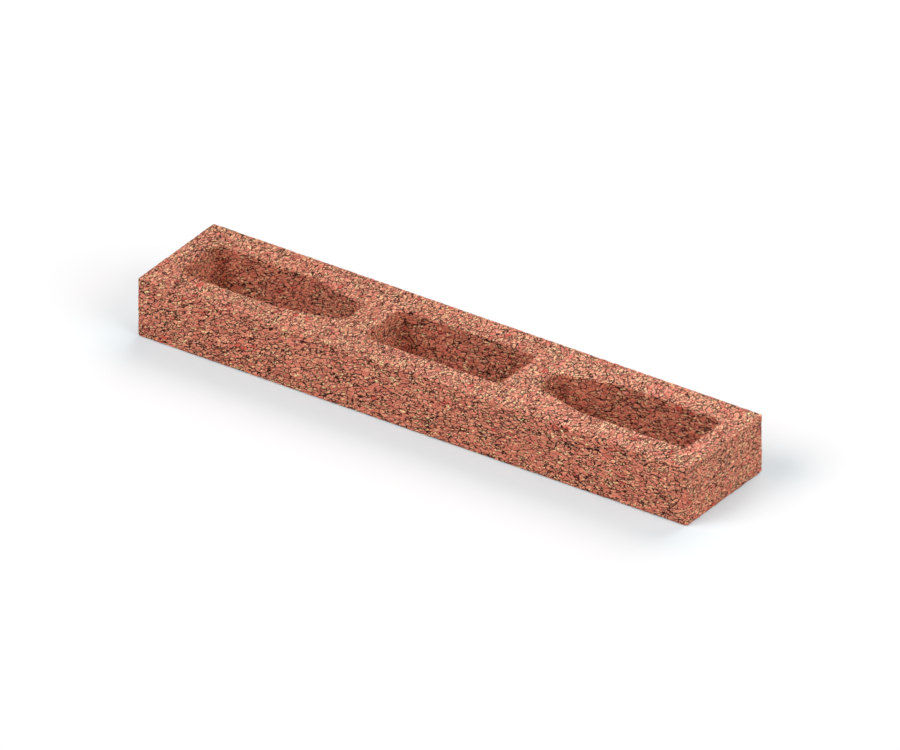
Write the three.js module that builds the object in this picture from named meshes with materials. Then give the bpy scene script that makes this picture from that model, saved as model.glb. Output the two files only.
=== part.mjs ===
// A long-format perforated clay brick: one fired piece, 500 x 100 x 50 mm, with three
// core holes that run straight through it from bed face to bed face.
//
// Millimetres, +Z up. The origin is the centre of the lower bed face, +X runs along the
// brick and +Y across it. The middle core is a plain slot with rounded corners. The two
// end cores are square at the brick's ends and taper towards the middle, which leaves
// wider webs where the brick would snap.

import * as THREE from "three";

// Overall size of the fired brick.
const brickLength = 500;
const brickWidth = 100;
const brickHeight = 50;

// Clay that is left round the cores.
const sideShell = 25; // long face to core
const endShell = 18.5; // end face to core
const webThickness = 25; // core to core

// The end cores. The middle core takes the length that they leave.
const endCoreLength = 144;
const taperLength = 50; // the part of an end core that narrows towards the middle
const noseWidth = 25; // an end core's narrow end

// Roundings.
const coreCornerRadius = 8; // upright corners inside the cores
const uprightArrisRadius = 1.5; // the brick's four upright arrises
const arrisRadius = 1; // every edge of the two bed faces, at the cores too

// How finely curves are cut into flats.
const ARC_STEPS = 4; // each rounded corner gets twice this many flats
const ARRIS_STEPS = 3;

const firedClay = new THREE.MeshStandardMaterial({
  name: "fired_clay",
  color: 0xb4745d,
  roughness: 0.95,
  metalness: 0,
});

// Adds a polygon with rounded corners to a path. The corners run anticlockwise, and the
// radius is held back where two roundings would meet on a short side.
function roundedPolygon(path, corners, radius) {
  const count = corners.length;
  corners.forEach((corner, i) => {
    const before = corners[(i + count - 1) % count];
    const after = corners[(i + 1) % count];
    const arriving = corner.clone().sub(before);
    const leaving = after.clone().sub(corner);
    const turn = arriving.angleTo(leaving);
    const room = 0.49 * Math.min(arriving.length(), leaving.length());
    const setback = Math.min(radius * Math.tan(turn / 2), room);
    const fitted = setback / Math.tan(turn / 2);

    arriving.normalize();
    const inward = new THREE.Vector2(-arriving.y, arriving.x);
    const start = corner.clone().addScaledVector(arriving, -setback);
    const centre = start.clone().addScaledVector(inward, fitted);
    const startAngle = Math.atan2(-inward.y, -inward.x);
    path.absarc(centre.x, centre.y, fitted, startAngle, startAngle + turn, false);
  });
  path.closePath();
  return path;
}

// The four corners of a rectangle, anticlockwise from its lowest x and y.
function rectangle(xLow, xHigh, halfWidth) {
  return [
    new THREE.Vector2(xLow, -halfWidth),
    new THREE.Vector2(xHigh, -halfWidth),
    new THREE.Vector2(xHigh, halfWidth),
    new THREE.Vector2(xLow, halfWidth),
  ];
}

const coreHalfWidth = brickWidth / 2 - sideShell;
const endCoreOuterX = brickLength / 2 - endShell; // the square end
const endCoreInnerX = endCoreOuterX - endCoreLength; // the nose
const middleCoreHalfLength = endCoreInnerX - webThickness;

function brickOutline() {
  const corners = rectangle(-brickLength / 2, brickLength / 2, brickWidth / 2);
  return roundedPolygon(new THREE.Shape(), corners, uprightArrisRadius);
}

function middleCore() {
  const corners = rectangle(-middleCoreHalfLength, middleCoreHalfLength, coreHalfWidth);
  return roundedPolygon(new THREE.Path(), corners, coreCornerRadius);
}

// The end core on the side that `side` names: 1 at the +X end, -1 at the -X end.
function endCore(side) {
  const shoulderX = endCoreInnerX + taperLength;
  const corners = [
    new THREE.Vector2(endCoreInnerX, -noseWidth / 2),
    new THREE.Vector2(shoulderX, -coreHalfWidth),
    new THREE.Vector2(endCoreOuterX, -coreHalfWidth),
    new THREE.Vector2(endCoreOuterX, coreHalfWidth),
    new THREE.Vector2(shoulderX, coreHalfWidth),
    new THREE.Vector2(endCoreInnerX, noseWidth / 2),
  ];
  // Turning the outline half a turn puts it at the other end, still anticlockwise.
  corners.forEach((corner) => corner.multiplyScalar(side));
  return roundedPolygon(new THREE.Path(), corners, coreCornerRadius);
}

// The section is pressed out along Z, and its bevel rounds the arrises of both bed faces
// inside the brick's own outline.
function brickGeometry() {
  const section = brickOutline();
  section.holes.push(endCore(-1), middleCore(), endCore(1));
  const geometry = new THREE.ExtrudeGeometry(section, {
    depth: brickHeight - 2 * arrisRadius,
    curveSegments: ARC_STEPS,
    bevelEnabled: true,
    bevelThickness: arrisRadius,
    bevelSize: arrisRadius,
    bevelOffset: -arrisRadius,
    bevelSegments: ARRIS_STEPS,
  });
  return geometry.translate(0, 0, arrisRadius);
}

const brick = new THREE.Mesh(brickGeometry(), firedClay);
brick.name = "brick";

const part = new THREE.Group();
part.add(brick);

export default part;
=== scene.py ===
"""The fired looks of a long perforated clay brick: its crumbly relief, its colours and a plain studio."""

import math
from collections import namedtuple

import bpy
import numpy as np
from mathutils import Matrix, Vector


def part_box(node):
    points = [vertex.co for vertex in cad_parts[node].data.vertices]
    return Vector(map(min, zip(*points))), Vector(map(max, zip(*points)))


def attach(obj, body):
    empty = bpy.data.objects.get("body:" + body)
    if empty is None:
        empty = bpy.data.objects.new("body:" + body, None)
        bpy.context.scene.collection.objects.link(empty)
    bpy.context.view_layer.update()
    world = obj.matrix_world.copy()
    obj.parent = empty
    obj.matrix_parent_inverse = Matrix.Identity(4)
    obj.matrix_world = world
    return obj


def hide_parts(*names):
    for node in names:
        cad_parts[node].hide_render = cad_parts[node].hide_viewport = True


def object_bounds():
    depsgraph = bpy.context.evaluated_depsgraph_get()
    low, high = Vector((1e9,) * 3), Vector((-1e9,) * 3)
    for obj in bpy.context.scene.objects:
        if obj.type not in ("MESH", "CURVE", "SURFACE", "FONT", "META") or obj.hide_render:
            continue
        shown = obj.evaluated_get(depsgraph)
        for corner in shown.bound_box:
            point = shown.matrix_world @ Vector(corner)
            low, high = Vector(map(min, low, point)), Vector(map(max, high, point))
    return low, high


bl_info = {
    "name": "Fired Clay Brick",
    "version": (1, 0, 0),
    "blender": (4, 5, 0),
    "location": "3D View > Sidebar > Brick",
    "description": "Gives a perforated clay brick its crumbly fired surface and sets it in a plain studio",
    "category": "Object",
}

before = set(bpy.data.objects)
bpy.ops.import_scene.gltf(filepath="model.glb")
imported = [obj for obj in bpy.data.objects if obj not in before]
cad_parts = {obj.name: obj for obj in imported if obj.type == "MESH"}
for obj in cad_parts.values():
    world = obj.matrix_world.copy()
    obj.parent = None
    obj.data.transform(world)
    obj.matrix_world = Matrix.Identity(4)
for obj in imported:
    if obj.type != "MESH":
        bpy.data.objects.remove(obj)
CAD_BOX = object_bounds()

BRICK_NODE = "brick"
BODY = "root"
CLAY_SLOT = "fired_clay"

MM = 0.001
TRIANGLE_LIMIT = 198_000  # most triangles that the finished brick keeps; beyond this it is thinned out

# How much finer the crumbs are along x, y and z on the two beds, on the long walls and on the walls across.
# The die drags the clay along the walls, so the crumbs there are long and low.
BED_STRETCH = Vector((1.45, 0.95, 2.0))
WALL_STRETCH = Vector((0.92, 1.05, 2.0))
END_STRETCH = Vector((0.92, 1.05, 2.5))
LEFT_LEAN, RIGHT_LEAN = math.radians(20), math.radians(6)  # of the long crumbs, at the brick's two ends

# How far a slow and a quick noise push the edges of the crumbs about, and how far apart their waves are.
# These sizes and those of the cracks and patches are millimetres of the stretched clay.
BEND, BEND_SIZE = 1.4, 6.0
FRAY, FRAY_SIZE = 0.9, 1.5

# A crack is fully open up to one distance from its grain's edge and ends at another. It opens only in
# patches: a noise of the patches' size shuts it below one level and opens it above another.
Crack = namedtuple("Crack", "full end patch shut opened")
CRUMB_CRACK = Crack(full=0.22, end=0.5, patch=4.0, shut=0.43, opened=0.49)
GRIT_CRACK = Crack(full=0.18, end=0.43, patch=3.2, shut=0.46, opened=0.51)
CHIP_CRACK = Crack(full=0.3, end=0.447, patch=2.1, shut=0.59, opened=0.63)
LONG_CRACK = Crack(full=0.22, end=0.45, patch=10.0, shut=0.6, opened=0.63)
# The light edges are painted highlights, laid in patches as the cracks are.
LIT_EDGE = Crack(full=0.15, end=0.41, patch=2.6, shut=0.453, opened=0.553)
LIT_EDGE_PLACE = (-0.45, 0.2, 1.6)  # where the painted highlights lie beside the edges of the grit, all on one side
RIM_WIDTH = 0.5  # of the painted highlights on the rims of the cracks
SUNK_FULL, SUNK_END = 0.5, 1.5  # a crumb crack's floor and mouth in the relief, against those of its colour

KIND_STEP = 0.01  # softness of the step from one kind of grain to another
SOLID_CRUMBS = 0.4  # share of the crumbs that are smooth inside
SOLID_CALM = 0.5  # how much smoother they are than the others
SOLID_SHADE = -0.08  # how their tone differs
PATCH_CALM = 0.2  # how much smoother the calm patches are than the busy ones
PATCH_SIZE = 9.0  # of the calm and the busy patches
PATCH_LEVELS = (0.4, 0.6)  # of the noise, between which calm turns to busy

FINE_SIZE, FINE_ROUGHNESS = 1.3, 0.7  # of the grain inside the crumbs
CLOUD_SIZE = 16.0  # of the wide clouds of tone
HUE_SIZE = 9.0  # of the changes of hue
HUE_LEVELS = (0.3, 0.7)  # of the noise, between which red turns to yellow
SPECK_EDGE, SPECK_SOFTNESS = 0.655, 0.04  # level of the speck noise above which a speck is light
PIT_EDGE, PIT_SOFTNESS = 0.329, 0.06  # level below which it paints the shade of a pit; the relief has no hollow there
CALM_SPECKS = 0.5  # strength of that noise where the clay is calm
SAND_SHARE, RED_SHARE, PALE_SHARE = 0.08, 0.025, 0.012  # of cream sand, burnt crumbs and pale stones
PALE_STEP = 0.005  # softness of the step from a pale stone to the rest
STONE_RIM = (0.05, 0.25)  # distances from the edge of sand or stone at which its colour starts and is full
RED_RIM = (0.1, 0.5)  # the same for a burnt crumb

# How fully each hides the clay below it. For the small cracks, it is their painted shade that hides it.
SPECK_COVER, RED_COVER, PALE_COVER, SMALL_CRACK_COVER = 0.88, 0.95, 0.8, 0.9

# Heights in the bump, in millimetres.
GRIT_BUMP, FINE_BUMP, DEEP_CRACK_BUMP, GRIT_CRACK_BUMP = 0.25, 0.2, 0.5, 0.3
CLAY_ROUGHNESS = 0.5  # of the crumbs. The floor of a crack has 1.
CLAY_GLOSS = 0.3  # its specular level

# The bake's map is cut into rows that are as long as the brick, one above the other. The last row holds
# the walls across, side by side in slots. Each slot takes those up to a place along the brick, and has a
# width. The slots here go from the left end to the middle, and the right half mirrors them.
ROW_GAP = 3 * MM
WALL_SLOTS = ((-0.240, 0.100), (-0.160, 0.050), (-0.075, 0.025), (0.0, 0.050))
CORE_WALLS = 0.8  # share of the half width within which a long wall belongs to a core

FLOOR_DROP = 0.05 * MM  # how far the floor lies below the brick
FLOOR_PAINT = (0.8, 0.8, 0.8, 1)
COOL_LIGHT = (0.52, 0.87, 1)  # colour of the floor's lift near the brick, which paints out the red light that the brick throws onto the floor
COOL_REACH = (-10 * MM, 75 * MM)  # from the brick's outline, where that is full and where it ends
CAMERA_DISTANCE = 3.0  # metres from the brick's middle


def length(name, description, millimetres, **more):
    """A size that the user may change."""
    return bpy.props.FloatProperty(
        name=name,
        description=description,
        default=millimetres * MM,
        precision=5,
        subtype="DISTANCE",
        unit="LENGTH",
        **more,
    )


def angle(name, description, degrees):
    """An angle that the user may change."""
    return bpy.props.FloatProperty(
        name=name,
        description=description,
        default=math.radians(degrees),
        subtype="ANGLE",
        unit="ROTATION",
    )


def amount(name, description, default, **more):
    """A plain number that the user may change."""
    return bpy.props.FloatProperty(name=name, description=description, default=default, precision=3, **more)


def colour(name, description, default):
    """A colour that the user may change."""
    return bpy.props.FloatVectorProperty(
        name=name, description=description, default=default, size=3, min=0, soft_max=1, subtype="COLOR"
    )


class BrickRelief(bpy.types.PropertyGroup):
    """Sizes of the grains and of the cracks between them."""

    net_spacing: length("Net spacing", "Distance between the points of the relief's net", 0.85, min=0.4 * MM)
    crumb: length("Crumb size", "Usual distance from one large crumb to the next", 5.2)
    grit: length("Grit size", "Usual distance from one small crumb to the next", 3.1)
    chip: length("Chip size", "Usual distance from one of the finest grains to the next", 1.58)
    speck: length("Speck spacing", "Usual distance from one fine speck to the next", 1.75)
    sand: length("Sand size", "Usual size of a cream grain of sand", 2.2)
    long_crack: length("Long crack spacing", "Usual distance from one long crack to the next", 12.0)
    crumb_crack_depth: length("Crumb crack depth", "How deep the cracks between large crumbs are", 0.45)
    grit_crack_depth: length("Grit crack depth", "How deep the cracks between small crumbs are", 0.12)
    long_crack_depth: length("Long crack depth", "How deep the long cracks are", 0.3)
    crumb_step: length("Crumb step", "How much lower the lowest large crumb sits than the highest", 0.15)
    grit_step: length("Grit step", "How much lower the lowest small crumb sits than the highest", 0.1)
    proud: length("Stands proud", "How far the highest crumbs stand out of the plain solid", 0.3)


class BrickColours(bpy.types.PropertyGroup):
    """Colours of the clay and of what lies in it."""

    clay_deep: colour("Deep clay", "The darkest tone of the clay", (0.29, 0.07, 0.043))
    clay_dark: colour("Dark clay", "A dark tone of the clay", (0.56, 0.153, 0.094))
    clay_plain: colour("Plain clay", "The middle tone of the clay", (0.77, 0.224, 0.139))
    clay_bright: colour("Bright clay", "A bright tone of the clay", (0.93, 0.348, 0.213))
    clay_pale: colour("Pale clay", "The palest tone of the clay", (0.99, 0.6, 0.34))
    # The light edges are painted highlights beside the edges of the grit.
    lit_edge: colour("Light edges", "The painted highlights on the edges of the small crumbs", (1.0, 0.6, 0.36))
    speck: colour("Specks", "The fine cream specks", (0.96, 0.66, 0.29))
    sand: colour("Sand", "The cream grains of sand", (0.93, 0.75, 0.38))
    red_crumb: colour("Red crumbs", "The few crumbs that are burnt redder", (0.68, 0.105, 0.07))
    pale_stone: colour("Pale stones", "The few pale stones", (0.86, 0.53, 0.43))
    # Painted shade of the cracks and pits: deep red at their sides, near black at their floors.
    crack_side_shade: colour("Crack sides", "The deep red of a crack's sides", (0.22, 0.038, 0.024))
    crack_floor_shade: colour("Crack floor", "The near black of a crack's floor", (0.035, 0.006, 0.004))
    # These four tints are partly the clay's overall lightness and partly painted light. They set how bright
    # the beds, long walls and walls across look against each other, and the bed tints paint a pale sheen
    # that grows towards the right end.
    bed_painted_light_left: colour("Bed tint, left", "Tint of the two beds at the left end", (1.04, 0.93, 0.91))
    bed_painted_light_right: colour("Bed tint, right", "Tint of the two beds at the right end", (1.2, 1.14, 1.19))
    wall: colour("Wall tint", "Tint of the long walls", (1.17, 1.14, 1.13))
    end: colour("End tint", "Tint of the walls across", (1.24, 1.15, 1.14))
    crumb_contrast: amount("Crumb contrast", "How much the large crumbs differ in tone", 0.15)
    grit_contrast: amount("Grit contrast", "How much the small crumbs differ in tone", 0.27)
    chip_contrast: amount("Chip contrast", "How much the finest grains differ in tone", 0.55)
    grain_contrast: amount("Grain contrast", "Strength of the finest grain inside the crumbs", 1.25)
    cloud_contrast: amount("Cloud contrast", "Strength of the wide soft clouds", 0.1)
    # The rims' extra lightness is a painted highlight.
    rim_contrast: amount("Rim contrast", "How much lighter the rims of the cracks are", 0.22)
    strong_contrast: amount("Strong contrast", "How much stronger the tones are on beds and ends", 1.65)
    # Strengths of the painted highlights by the edges, on the beds and on the walls.
    bed_edge_highlight: amount("Light edges, beds", "Strength of light edges on the beds", 1.0, min=0, max=1)
    wall_edge_highlight: amount("Light edges, walls", "Strength of light edges on the walls", 0.4, min=0, max=1)
    hue_change: amount("Hue change", "How much yellower and redder the clay gets from place to place", 0.1)


class BrickStage(bpy.types.PropertyGroup):
    """The camera, the floor and the lamps."""

    azimuth: angle("Azimuth", "Camera direction round the brick, from straight in front", 34.664)
    elevation: angle("Elevation", "Camera height above the horizon", 30.226)
    view_width: length("View width", "Width of what the camera shows", 674.2)
    floor_size: length("Floor size", "Side of the square floor", 8000)
    floor_lift: amount("Floor lift", "How much whiter the floor looks than its light makes it", 0.228, min=0)
    room_light: amount("Room light", "Strength of the even light from all round", 0.062, min=0)
    left_lamp: amount("Left lamp", "Strength of the lamp on the left, in front", 0.487, min=0)
    back_lamp: amount("Back lamp", "Strength of the lamp behind", 0.463, min=0)
    right_lamp: amount("Right lamp", "Strength of the low lamp on the right", 0.485, min=0)
    front_lamp: amount("Front lamp", "Strength of the weak lamp in front", 0.10, min=0)


class Wire:
    """A number that flows through a node tree. Python arithmetic on it adds the Math nodes."""

    def __init__(self, nodes, socket):
        self.nodes = nodes
        self.socket = socket

    def _math(self, operation, first, second):
        return self.nodes.add("ShaderNodeMath", {"operation": operation}, {0: first, 1: second})

    def __add__(self, other):
        return self._math("ADD", self, other)

    def __radd__(self, other):
        return self._math("ADD", other, self)

    def __sub__(self, other):
        return self._math("SUBTRACT", self, other)

    def __rsub__(self, other):
        return self._math("SUBTRACT", other, self)

    def __mul__(self, other):
        return self._math("MULTIPLY", self, other)

    def __rmul__(self, other):
        return self._math("MULTIPLY", other, self)

    def __gt__(self, other):
        return self._math("GREATER_THAN", self, other)


class Nodes:
    """Adds nodes to one tree, of a material, a world or a geometry group."""

    def __init__(self, tree):
        self.tree = tree
        tree.nodes.clear()

    def add(self, kind, settings=None, inputs=None, output=0):
        """Adds a node, sets it up, feeds its sockets and returns one of its outputs."""
        node = self.tree.nodes.new(kind)
        for name, value in (settings or {}).items():
            if name == "stops":
                self._set_stops(node.color_ramp, value)
            else:
                setattr(node, name, value)
        for key, value in (inputs or {}).items():
            if isinstance(value, Wire):
                self.tree.links.new(value.socket, node.inputs[key])
            else:
                node.inputs[key].default_value = value
        return Wire(self, node.outputs[output]) if len(node.outputs) else node

    def also(self, wire, output):
        """Another output of the node that a wire comes from."""
        return Wire(self, wire.socket.node.outputs[output])

    @staticmethod
    def _set_stops(ramp, stops):
        while len(ramp.elements) < len(stops):
            ramp.elements.new(1.0)
        for element, (position, tone) in zip(ramp.elements, stops):
            element.position = position
            element.color = tone

    def vector(self, operation, first, second=None, **named):
        """A Vector Math node."""
        inputs = {0: first}
        if second is not None:
            inputs[1] = second
        inputs.update(named)
        return self.add("ShaderNodeVectorMath", {"operation": operation}, inputs)

    def axis(self, vector, which):
        """One of a vector's three numbers, 0, 1 or 2."""
        return self.add("ShaderNodeSeparateXYZ", {}, {0: vector}, which)

    def ramp(self, value, low, high, start=0.0, end=1.0):
        """start below low, end above high and a smooth change between them."""
        return self.add(
            "ShaderNodeMapRange",
            {"interpolation_type": "SMOOTHSTEP"},
            {"Value": value, "From Min": low, "From Max": high, "To Min": start, "To Max": end},
        )

    def largest(self, first, *others):
        """The largest of some numbers."""
        for other in others:
            first = self.add("ShaderNodeMath", {"operation": "MAXIMUM"}, {0: first, 1: other})
        return first

    def noise(self, place, size, detail=2.0, roughness=0.5, output=0):
        """Noise whose blobs are about size apart, from 0 to 1, or a vector of three with output 1."""
        return self.add(
            "ShaderNodeTexNoise",
            {},
            {"Vector": place, "Scale": 1 / size, "Detail": detail, "Roughness": roughness},
            output,
        )

    def cells(self, place, size, feature="F1", output=0):
        """Random cells about size apart."""
        return self.add(
            "ShaderNodeTexVoronoi", {"feature": feature}, {"Vector": place, "Scale": 1 / size}, output
        )

    def mix(self, factor, first, second, blend="MIX"):
        """Blends two colours, which are given as three numbers or as a wire."""
        inputs = {0: factor, 6: self._full(first), 7: self._full(second)}
        return self.add("ShaderNodeMix", {"data_type": "RGBA", "blend_type": blend}, inputs, 2)

    @staticmethod
    def _full(tone):
        return tone if isinstance(tone, Wire) else (*tone, 1)


class Grains:
    """Grains of one size that fill the clay, each with three random numbers."""

    def __init__(self, nodes, place, size):
        self.nodes = nodes
        self.from_edge = nodes.cells(place, size, "DISTANCE_TO_EDGE") * size
        self.randoms = nodes.cells(place, size, output=1)

    def random(self, which=0):
        """One of a grain's random numbers, from 0 to 1."""
        return self.nodes.axis(self.randoms, which)

    def near_edge(self, full, end):
        """1 up to full from the grain's edge, and 0 beyond end."""
        return self.nodes.ramp(self.from_edge, full, end, 1.0, 0.0)


class ClayPattern:
    """Where the grains and the cracks lie. The relief and the finish are both made from it, so they agree.

    bed is 1 on the two beds and 0 on the walls, and end is 1 on the walls across.
    """

    def __init__(self, nodes, place, bed, end, relief):
        self.nodes = nodes
        self.place = self._stretched(nodes.vector("SCALE", place, Scale=1 / MM), bed, end)
        bend = nodes.vector("SCALE", nodes.noise(self.place, BEND_SIZE, detail=1, output=1), Scale=BEND)
        fray = nodes.vector("SCALE", nodes.noise(self.place, FRAY_SIZE, detail=1, output=1), Scale=FRAY)
        self.frayed = nodes.vector("ADD", nodes.vector("ADD", self.place, bend), fray)

        self.crumb = Grains(nodes, self.frayed, relief.crumb / MM)
        self.grit = Grains(nodes, self.frayed, relief.grit / MM)
        self.chip = Grains(nodes, self.frayed, relief.chip / MM)
        pick = self.crumb.random(1)
        self.solid = nodes.ramp(pick, SOLID_CRUMBS - KIND_STEP, SOLID_CRUMBS + KIND_STEP, 1.0, 0.0)
        calm = nodes.ramp(nodes.noise(self.place, PATCH_SIZE, detail=1), *PATCH_LEVELS, 1 - PATCH_CALM, 1.0)
        self.busy = calm * (1 - self.solid * SOLID_CALM)

        self.crumb_patches = self._patches(CRUMB_CRACK)
        grit_patches = self._patches(GRIT_CRACK) * self.busy
        chip_patches = self._patches(CHIP_CRACK) * self.busy
        self.crumb_crack = self.crumb.near_edge(CRUMB_CRACK.full, CRUMB_CRACK.end) * self.crumb_patches
        self.grit_crack = self.grit.near_edge(GRIT_CRACK.full, GRIT_CRACK.end) * grit_patches
        self.chip_crack = self.chip.near_edge(CHIP_CRACK.full, CHIP_CRACK.end) * chip_patches
        # Painted highlights on the rims just outside the cracks.
        self.rim_highlight = nodes.largest(
            self.crumb.near_edge(CRUMB_CRACK.end, CRUMB_CRACK.end + RIM_WIDTH) * self.crumb_patches,
            self.grit.near_edge(GRIT_CRACK.end, GRIT_CRACK.end + RIM_WIDTH) * grit_patches,
            self.chip.near_edge(CHIP_CRACK.end, CHIP_CRACK.end + RIM_WIDTH) * chip_patches,
        )
        slabs = Grains(nodes, self.frayed, relief.long_crack / MM)
        long_patches = self._patches(LONG_CRACK, detail=1)
        self.long_crack = slabs.near_edge(LONG_CRACK.full, LONG_CRACK.end) * long_patches

    def _stretched(self, place, bed, end):
        """Where a place lay in the clay before the die drew it out and laid it over."""
        low, high = (corner[0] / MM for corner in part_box(BRICK_NODE))
        lean = self.nodes.ramp(self.nodes.axis(place, 0), low, high, LEFT_LEAN, RIGHT_LEAN)
        leaning = self.nodes.add(
            "ShaderNodeVectorRotate", {"rotation_type": "Y_AXIS"}, {"Vector": place, "Angle": lean}
        )
        on_bed = self.nodes.vector("SCALE", tuple(BED_STRETCH - WALL_STRETCH), Scale=bed)
        on_end = self.nodes.vector("SCALE", tuple(END_STRETCH - WALL_STRETCH), Scale=end)
        stretch = self.nodes.vector("ADD", self.nodes.vector("ADD", on_bed, tuple(WALL_STRETCH)), on_end)
        return self.nodes.vector("MULTIPLY", leaning, stretch)

    def _patches(self, crack, detail=2):
        """1 in the patches where cracks of a kind open."""
        return self.nodes.ramp(self.nodes.noise(self.place, crack.patch, detail), crack.shut, crack.opened)

    def lit_edges(self, grit_size):
        """1 on the painted highlights that lie beside the edges of the grit."""
        beside = self.nodes.vector("ADD", self.frayed, LIT_EDGE_PLACE)
        edge = Grains(self.nodes, beside, grit_size).near_edge(LIT_EDGE.full, LIT_EDGE.end)
        return edge * self._patches(LIT_EDGE, detail=1) * self.busy


def seen_directly(nodes):
    """1 for what the camera sees, itself or in gloss or glass, and 0 for the light on the object."""
    path = nodes.add("ShaderNodeLightPath", output="Is Camera Ray")
    return nodes.largest(path, nodes.also(path, "Is Glossy Ray"), nodes.also(path, "Is Transmission Ray"))


def relief_group(relief):
    """A geometry group that sinks the surface between the crumbs and stores what the map and finish need."""
    group = bpy.data.node_groups.new("crumb relief", "GeometryNodeTree")
    group.interface.new_socket("Geometry", in_out="INPUT", socket_type="NodeSocketGeometry")
    group.interface.new_socket("Geometry", in_out="OUTPUT", socket_type="NodeSocketGeometry")
    nodes = Nodes(group)
    place = nodes.add("GeometryNodeInputPosition")
    normal = nodes.add("GeometryNodeInputNormal")
    sideways = nodes.axis(normal, 0)
    upright = nodes.axis(normal, 2)
    # A bed faces up or down, and a wall across faces left or right, to within 45 degrees.
    bed = upright * upright > 0.5
    end = sideways * sideways > 0.5
    body = nodes.add("NodeGroupInput")
    for name, kind, value in (
        ("unworn place", "FLOAT_VECTOR", place),
        ("unworn normal", "FLOAT_VECTOR", normal),
        ("bed share", "FLOAT", bed),
        ("end share", "FLOAT", end),
    ):
        body = nodes.add(
            "GeometryNodeStoreNamedAttribute",
            {"data_type": kind, "domain": "POINT"},
            {"Geometry": body, "Name": name, "Value": value},
        )

    clay = ClayPattern(nodes, place, bed, end, relief)
    sunk = clay.crumb.near_edge(CRUMB_CRACK.full * SUNK_FULL, CRUMB_CRACK.end * SUNK_END)
    drop = (
        sunk * clay.crumb_patches * relief.crumb_crack_depth
        + clay.grit_crack * relief.grit_crack_depth
        + clay.long_crack * relief.long_crack_depth
        + clay.crumb.random() * relief.crumb_step
        + clay.grit.random() * relief.grit_step
    )
    not_underneath = upright > -0.5
    outward = nodes.vector("SCALE", normal, Scale=not_underneath * relief.proud - drop)
    moved = nodes.add("GeometryNodeSetPosition", {}, {"Geometry": body, "Offset": outward})
    nodes.add("NodeGroupOutput", {}, {"Geometry": moved})
    return group


def only(body):
    """Makes body the one selected and active object."""
    bpy.ops.object.select_all(action="DESELECT")
    body.select_set(True)
    bpy.context.view_layer.objects.active = body


def apply_modifier(body, name, kind, **settings):
    """Adds a modifier, sets it up and applies it."""
    modifier = body.modifiers.new(name, kind)
    for key, value in settings.items():
        setattr(modifier, key, value)
    only(body)
    bpy.ops.object.modifier_apply(modifier=modifier.name)


def triangles_in(mesh):
    """How many triangles a mesh has."""
    mesh.calc_loop_triangles()
    return len(mesh.loop_triangles)


def numbers_of(collection, name, kind, count, width=1):
    """One property of all the vertices, corners or faces of a mesh, as an array."""
    values = np.empty(count * width, kind)
    collection.foreach_get(name, values)
    return values.reshape(-1, width) if width > 1 else values


def lay_out_map(body):
    """Gives the brick a map in which each face lies flat and keeps its size."""
    mesh = body.data
    count = len(mesh.vertices)
    place = numbers_of(mesh.attributes["unworn place"].data, "vector", np.float32, count, 3)
    normal = numbers_of(mesh.attributes["unworn normal"].data, "vector", np.float32, count, 3)
    corner_vertex = numbers_of(mesh.loops, "vertex_index", np.int32, len(mesh.loops))
    totals = numbers_of(mesh.polygons, "loop_total", np.int32, len(mesh.polygons))
    face = np.repeat(np.arange(len(totals)), totals)
    face_normal = np.zeros((len(totals), 3))
    np.add.at(face_normal, face, normal[corner_vertex])
    face_place = np.zeros((len(totals), 3))
    np.add.at(face_place, face, place[corner_vertex])
    face_place /= totals[:, None]

    low, high = (Vector(corner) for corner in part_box(BRICK_NODE))
    length_x, width, height = high - low
    axis = np.abs(face_normal).argmax(axis=1)
    side = np.take_along_axis(face_normal, axis[:, None], axis=1)[:, 0] > 0
    bed = axis == 2
    long_wall = axis == 1
    short_wall = axis == 0
    inner = np.abs(face_place[:, 1]) < CORE_WALLS * high.y
    row = np.empty(len(totals), np.int32)
    row[bed] = np.where(side[bed], 0, 1)
    row[long_wall] = 2 + side[long_wall] + 2 * inner[long_wall]
    row[short_wall] = 6
    row_heights = [width, width, height, height, height, height, height]
    row_low = np.cumsum([ROW_GAP] + [h + ROW_GAP for h in row_heights[:-1]])
    corner_place = place[corner_vertex]
    u = corner_place[:, 0] - low.x + ROW_GAP
    v = np.where(bed[face], corner_place[:, 1] - low.y, corner_place[:, 2]) + row_low[row[face]]

    slot_low = ROW_GAP
    bounds = [x for x, _ in WALL_SLOTS] + [-x for x, _ in reversed(WALL_SLOTS[:-1])] + [high.x + ROW_GAP]
    widths = [w for _, w in WALL_SLOTS] + [w for _, w in reversed(WALL_SLOTS)]
    before = low.x - ROW_GAP
    for bound, slot_width in zip(bounds, widths):
        here = (short_wall & (face_place[:, 0] > before) & (face_place[:, 0] <= bound))[face]
        u[here] = corner_place[here, 1] + slot_width / 2 + slot_low
        slot_low += slot_width + ROW_GAP
        before = bound

    map_size = length_x + 2 * ROW_GAP
    layer = mesh.uv_layers.new(name="OFBake")
    layer.data.foreach_set("uv", (np.stack([u, v], axis=1) / map_size).astype(np.float32).ravel())


def build_body(relief):
    """The brick's solid, cut into a fine net, roughened, and thinned where it stays flat."""
    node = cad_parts[BRICK_NODE]
    body = bpy.data.objects.new("fired_brick", node.data.copy())
    bpy.context.scene.collection.objects.link(body)
    only(body)
    bpy.ops.object.mode_set(mode="EDIT")
    bpy.ops.mesh.select_all(action="SELECT")
    bpy.ops.mesh.remove_doubles(threshold=0.01 * MM)
    bpy.ops.object.mode_set(mode="OBJECT")
    apply_modifier(body, "even net", "REMESH", mode="VOXEL", voxel_size=relief.net_spacing)
    apply_modifier(body, "relief", "NODES", node_group=relief_group(relief))
    excess = triangles_in(body.data) / TRIANGLE_LIMIT
    if excess > 1:
        apply_modifier(body, "thin out", "DECIMATE", ratio=1 / excess)
    lay_out_map(body)
    for polygon in body.data.polygons:
        polygon.use_smooth = True
    return body


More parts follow.
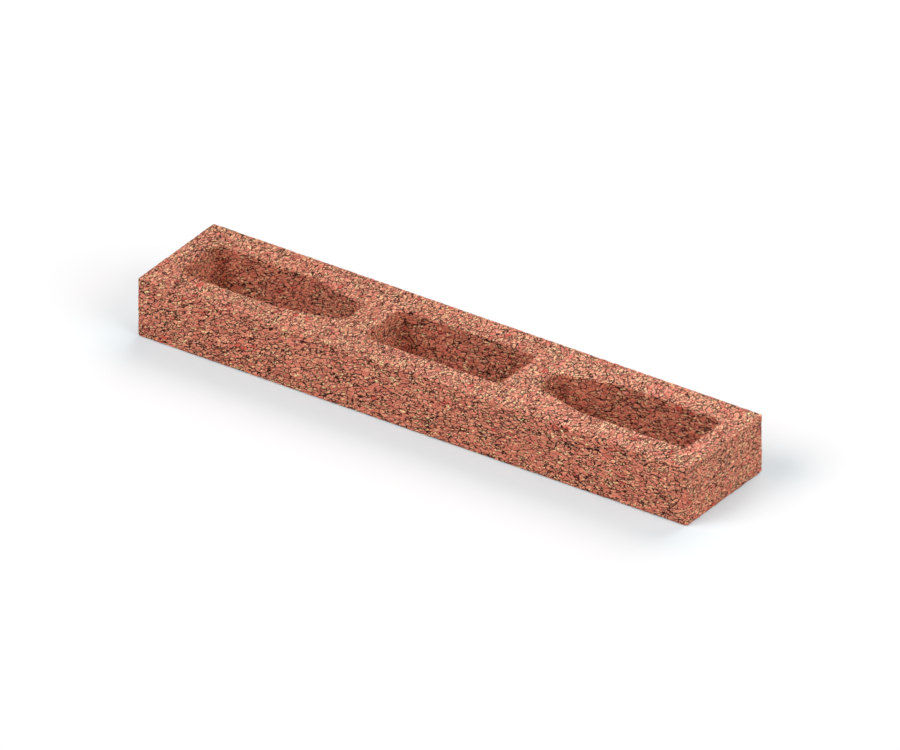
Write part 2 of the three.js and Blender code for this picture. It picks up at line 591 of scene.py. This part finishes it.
def plain_clay(nodes, clay, strong, fine, tones):
    """The clay between the cracks: a tone for each grain, finer grain inside it and soft clouds over all.

    strong is 1 where the tones lie further apart.
    """
    cloud = nodes.noise(clay.place, CLOUD_SIZE)
    inside = (
        (clay.grit.random() - 0.5) * tones.grit_contrast
        + (clay.chip.random() - 0.5) * tones.chip_contrast
        + (fine - 0.5) * tones.grain_contrast
    )
    change = (
        (clay.crumb.random() - 0.5) * tones.crumb_contrast
        + inside * clay.busy
        + (cloud - 0.5) * tones.cloud_contrast
        + clay.solid * SOLID_SHADE
        # the painted highlights on the crack rims
        + clay.rim_highlight * tones.rim_contrast
    )
    stops = (
        (0.0, tones.clay_deep),
        (0.3, tones.clay_dark),
        (0.5, tones.clay_plain),
        (0.7, tones.clay_bright),
        (1.0, tones.clay_pale),
    )
    return nodes.add(
        "ShaderNodeValToRGB",
        {"stops": [(position, (*tone, 1)) for position, tone in stops]},
        {0: 0.5 + change * (1 + strong * (tones.strong_contrast - 1))},
    )


def with_stones(nodes, base, clay, relief, tones):
    """Adds the cream sand, the burnt crumbs and the pale stones."""
    sand = Grains(nodes, clay.frayed, relief.sand / MM)
    pick = sand.random()
    inside = nodes.ramp(sand.from_edge, *STONE_RIM)
    is_sand = nodes.ramp(pick, 1 - SAND_SHARE, 1 - SAND_SHARE + KIND_STEP) * inside
    base = nodes.mix(is_sand, base, tones.sand)
    is_red = nodes.ramp(clay.crumb.random(2), RED_SHARE - KIND_STEP, RED_SHARE, 1.0, 0.0)
    is_red = is_red * nodes.ramp(clay.crumb.from_edge, *RED_RIM)
    base = nodes.mix(is_red * RED_COVER, base, tones.red_crumb)
    is_pale = nodes.ramp(pick, PALE_SHARE, PALE_SHARE + PALE_STEP, 1.0, 0.0) * inside
    return nodes.mix(is_pale * PALE_COVER, base, tones.pale_stone)


def clay_material(relief, tones):
    """Fired clay: crumbs of many reds, cracks in painted shade, painted highlights along the edges, cream
    sand and a few odd stones.
    """
    material = bpy.data.materials.new(CLAY_SLOT)
    material.use_nodes = True
    nodes = Nodes(material.node_tree)
    place = nodes.add("ShaderNodeTexCoord", output=3)
    bed = nodes.add("ShaderNodeAttribute", {"attribute_name": "bed share"}, output=2) > 0.5
    end = nodes.add("ShaderNodeAttribute", {"attribute_name": "end share"}, output=2) > 0.5
    clay = ClayPattern(nodes, place, bed, end, relief)
    fine = nodes.noise(clay.place, FINE_SIZE, roughness=FINE_ROUGHNESS)

    base = plain_clay(nodes, clay, nodes.largest(bed, end), fine, tones)
    # Painted highlights beside the grit's edges, full on the beds and weaker on the walls.
    edge_highlight = tones.wall_edge_highlight + bed * (tones.bed_edge_highlight - tones.wall_edge_highlight)
    base = nodes.mix(clay.lit_edges(relief.grit / MM) * edge_highlight, base, tones.lit_edge)
    base = with_stones(nodes, base, clay, relief, tones)

    noise = nodes.noise(clay.place, relief.speck / MM, detail=1) - 0.5
    level = 0.5 + noise * nodes.ramp(clay.busy, 0, 1, CALM_SPECKS, 1.0)
    specks = nodes.ramp(level, SPECK_EDGE, SPECK_EDGE + SPECK_SOFTNESS)
    base = nodes.mix(specks * SPECK_COVER, base, tones.speck)
    # Dark pits, painted shade in the colour only.
    painted_pits = nodes.ramp(level, PIT_EDGE - PIT_SOFTNESS, PIT_EDGE, 1.0, 0.0)

    # The cracks are also sunk in the relief. Their darkness here is painted shade, deep red at the sides and
    # near black at the floor.
    small = nodes.largest(clay.grit_crack, clay.chip_crack) * SMALL_CRACK_COVER
    cracks = nodes.largest(small, clay.crumb_crack, clay.long_crack, painted_pits)
    base = nodes.mix(cracks, base, tones.crack_side_shade)
    base = nodes.mix(cracks * cracks, base, tones.crack_floor_shade)

    hue = nodes.ramp(nodes.noise(clay.place, HUE_SIZE), *HUE_LEVELS)
    change = tones.hue_change
    redder = (1, 1 - change, 1 - change / 2)
    yellower = (1, 1 + change, 1 + change / 2)
    base = nodes.mix(1.0, base, nodes.mix(hue, redder, yellower), "MULTIPLY")
    # Painted light: each kind of face gets its own lift, and the beds a painted sheen that grows towards the
    # right end.
    low, high = (corner[0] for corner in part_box(BRICK_NODE))
    bed_painted_light = nodes.mix(nodes.ramp(nodes.axis(place, 0), low, high), tones.bed_painted_light_left, tones.bed_painted_light_right)
    tint = nodes.mix(bed, nodes.mix(end, tones.wall, tones.end), bed_painted_light)
    base = nodes.mix(1.0, base, tint, "MULTIPLY")

    height = (
        clay.grit.random() * GRIT_BUMP
        + fine * FINE_BUMP
        - clay.crumb_crack * DEEP_CRACK_BUMP
        - clay.long_crack * DEEP_CRACK_BUMP
        - clay.grit_crack * GRIT_CRACK_BUMP
    )
    bump = nodes.add("ShaderNodeBump", {}, {"Strength": 1.0, "Distance": MM, "Height": height})
    roughness = CLAY_ROUGHNESS + cracks * (1 - CLAY_ROUGHNESS)
    shader = nodes.add(
        "ShaderNodeBsdfPrincipled",
        {},
        {"Base Color": base, "Roughness": roughness, "Specular IOR Level": CLAY_GLOSS, "Normal": bump},
    )
    nodes.add("ShaderNodeOutputMaterial", {}, {"Surface": shader})
    return material


class MouldBrick(bpy.types.Operator):
    """Makes the fired brick from its plain solid"""

    bl_idname = "brick.mould"
    bl_label = "Mould Brick"

    def execute(self, context):
        relief = context.scene.brick_relief
        body = build_body(relief)
        body.data.materials.clear()
        body.data.materials.append(clay_material(relief, context.scene.brick_colours))
        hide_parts(BRICK_NODE)
        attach(body, BODY)
        return {"FINISHED"}


def direction(azimuth, elevation):
    """The way to a place round the brick. Its azimuth counts from the right end, towards the back."""
    level = math.cos(elevation)
    return Vector((level * math.cos(azimuth), level * math.sin(azimuth), math.sin(elevation)))


class SetStage(bpy.types.Operator):
    """Adds the floor, the lamps and the camera"""

    bl_idname = "brick.set_stage"
    bl_label = "Set Stage"

    def execute(self, context):
        stage = context.scene.brick_stage
        self.add_floor(stage)
        self.add_lights(context, stage)
        self.add_camera(context, stage)
        return {"FINISHED"}

    def add_floor(self, stage):
        bpy.ops.object.select_all(action="DESELECT")
        bpy.ops.mesh.primitive_plane_add(size=stage.floor_size, location=(0, 0, -FLOOR_DROP))
        floor = bpy.context.object
        floor.name = "studio_floor"
        bpy.ops.object.transform_apply(location=True, rotation=False, scale=False)
        material = bpy.data.materials.new("studio_floor")
        material.use_nodes = True
        nodes = Nodes(material.node_tree)
        paint = nodes.add("ShaderNodeBsdfDiffuse", {}, {"Color": FLOOR_PAINT})
        away = self.distance_from_brick(nodes)
        # The floor's lift is cooler near the brick, which paints out the red light bounced onto it from the
        # brick.
        cool = nodes.mix(nodes.ramp(away, *COOL_REACH, 1.0, 0.0), (1, 1, 1), COOL_LIGHT)
        lift = nodes.add(
            "ShaderNodeEmission", {}, {"Color": cool, "Strength": seen_directly(nodes) * stage.floor_lift}
        )
        both = nodes.add("ShaderNodeAddShader", {}, {0: paint, 1: lift})
        nodes.add("ShaderNodeOutputMaterial", {}, {"Surface": both})
        floor.data.materials.append(material)

    def distance_from_brick(self, nodes):
        """How far a place on the floor is from the brick's outline."""
        place = nodes.add("ShaderNodeTexCoord", output=3)
        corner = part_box(BRICK_NODE)[1]
        outside = nodes.vector("SUBTRACT", nodes.vector("ABSOLUTE", place), (corner[0], corner[1], 0))
        return nodes.also(nodes.vector("LENGTH", nodes.vector("MAXIMUM", outside, (0, 0, 0))), 1)

    def add_lights(self, context, stage):
        world = bpy.data.worlds.new("studio")
        context.scene.world = world
        world.use_nodes = True
        nodes = Nodes(world.node_tree)
        light = nodes.add("ShaderNodeBackground", {}, {"Color": (1, 1, 1, 1), "Strength": stage.room_light})
        white = nodes.add("ShaderNodeBackground", {}, {"Color": (1, 1, 1, 1), "Strength": 1.0})
        both = nodes.add("ShaderNodeMixShader", {}, {0: seen_directly(nodes), 1: light, 2: white})
        nodes.add("ShaderNodeOutputWorld", {}, {"Surface": both})
        # Each lamp's azimuth, elevation and spread are in degrees.
        self.add_sun(context, "left lamp", 231, 45, 40, stage.left_lamp)
        self.add_sun(context, "back lamp", 91, 43, 48, stage.back_lamp)
        self.add_sun(context, "right lamp", 356, 29, 49, stage.right_lamp)
        self.add_sun(context, "front lamp", 251, 27, 29, stage.front_lamp)

    def add_sun(self, context, name, azimuth, elevation, spread, strength):
        """A wide soft lamp."""
        sun = bpy.data.lights.new(name, "SUN")
        sun.angle = math.radians(spread)
        sun.energy = strength * math.pi
        lamp = bpy.data.objects.new(name, sun)
        context.scene.collection.objects.link(lamp)
        towards = direction(math.radians(azimuth), math.radians(elevation))
        lamp.rotation_euler = towards.to_track_quat("Z", "Y").to_euler()

    def add_camera(self, context, stage):
        low, high = (Vector(corner) for corner in CAD_BOX)
        quarter_turn = math.radians(90)  # from the right end to straight in front
        towards = direction(stage.azimuth - quarter_turn, stage.elevation)
        lens = bpy.data.cameras.new("camera")
        lens.type = "ORTHO"
        lens.ortho_scale = stage.view_width
        camera = bpy.data.objects.new("camera", lens)
        context.scene.collection.objects.link(camera)
        camera.location = (low + high) / 2 + towards * CAMERA_DISTANCE
        camera.rotation_euler = towards.to_track_quat("Z", "Y").to_euler()
        context.scene.camera = camera


class BrickPanel(bpy.types.Panel):
    """Sizes and colours of the brick's finish and of the stage"""

    bl_idname = "VIEW3D_PT_fired_brick"
    bl_label = "Fired Clay Brick"
    bl_space_type = "VIEW_3D"
    bl_region_type = "UI"
    bl_category = "Brick"

    def draw(self, context):
        column = self.layout.column()
        scene = context.scene
        for settings in (scene.brick_relief, scene.brick_colours, scene.brick_stage):
            for name in settings.bl_rna.properties.keys():
                if name not in {"rna_type", "name"}:
                    column.prop(settings, name)
        column.operator(MouldBrick.bl_idname)
        column.operator(SetStage.bl_idname)


CLASSES = (BrickRelief, BrickColours, BrickStage, MouldBrick, SetStage, BrickPanel)


def register():
    for each in CLASSES:
        bpy.utils.register_class(each)
    bpy.types.Scene.brick_relief = bpy.props.PointerProperty(type=BrickRelief)
    bpy.types.Scene.brick_colours = bpy.props.PointerProperty(type=BrickColours)
    bpy.types.Scene.brick_stage = bpy.props.PointerProperty(type=BrickStage)


def unregister():
    del bpy.types.Scene.brick_stage
    del bpy.types.Scene.brick_colours
    del bpy.types.Scene.brick_relief
    for each in reversed(CLASSES):
        bpy.utils.unregister_class(each)


def main():
    register()
    bpy.ops.brick.mould()
    bpy.ops.brick.set_stage()
    bpy.context.scene.view_settings.view_transform = "Standard"


if __name__ == "__main__":
    main()
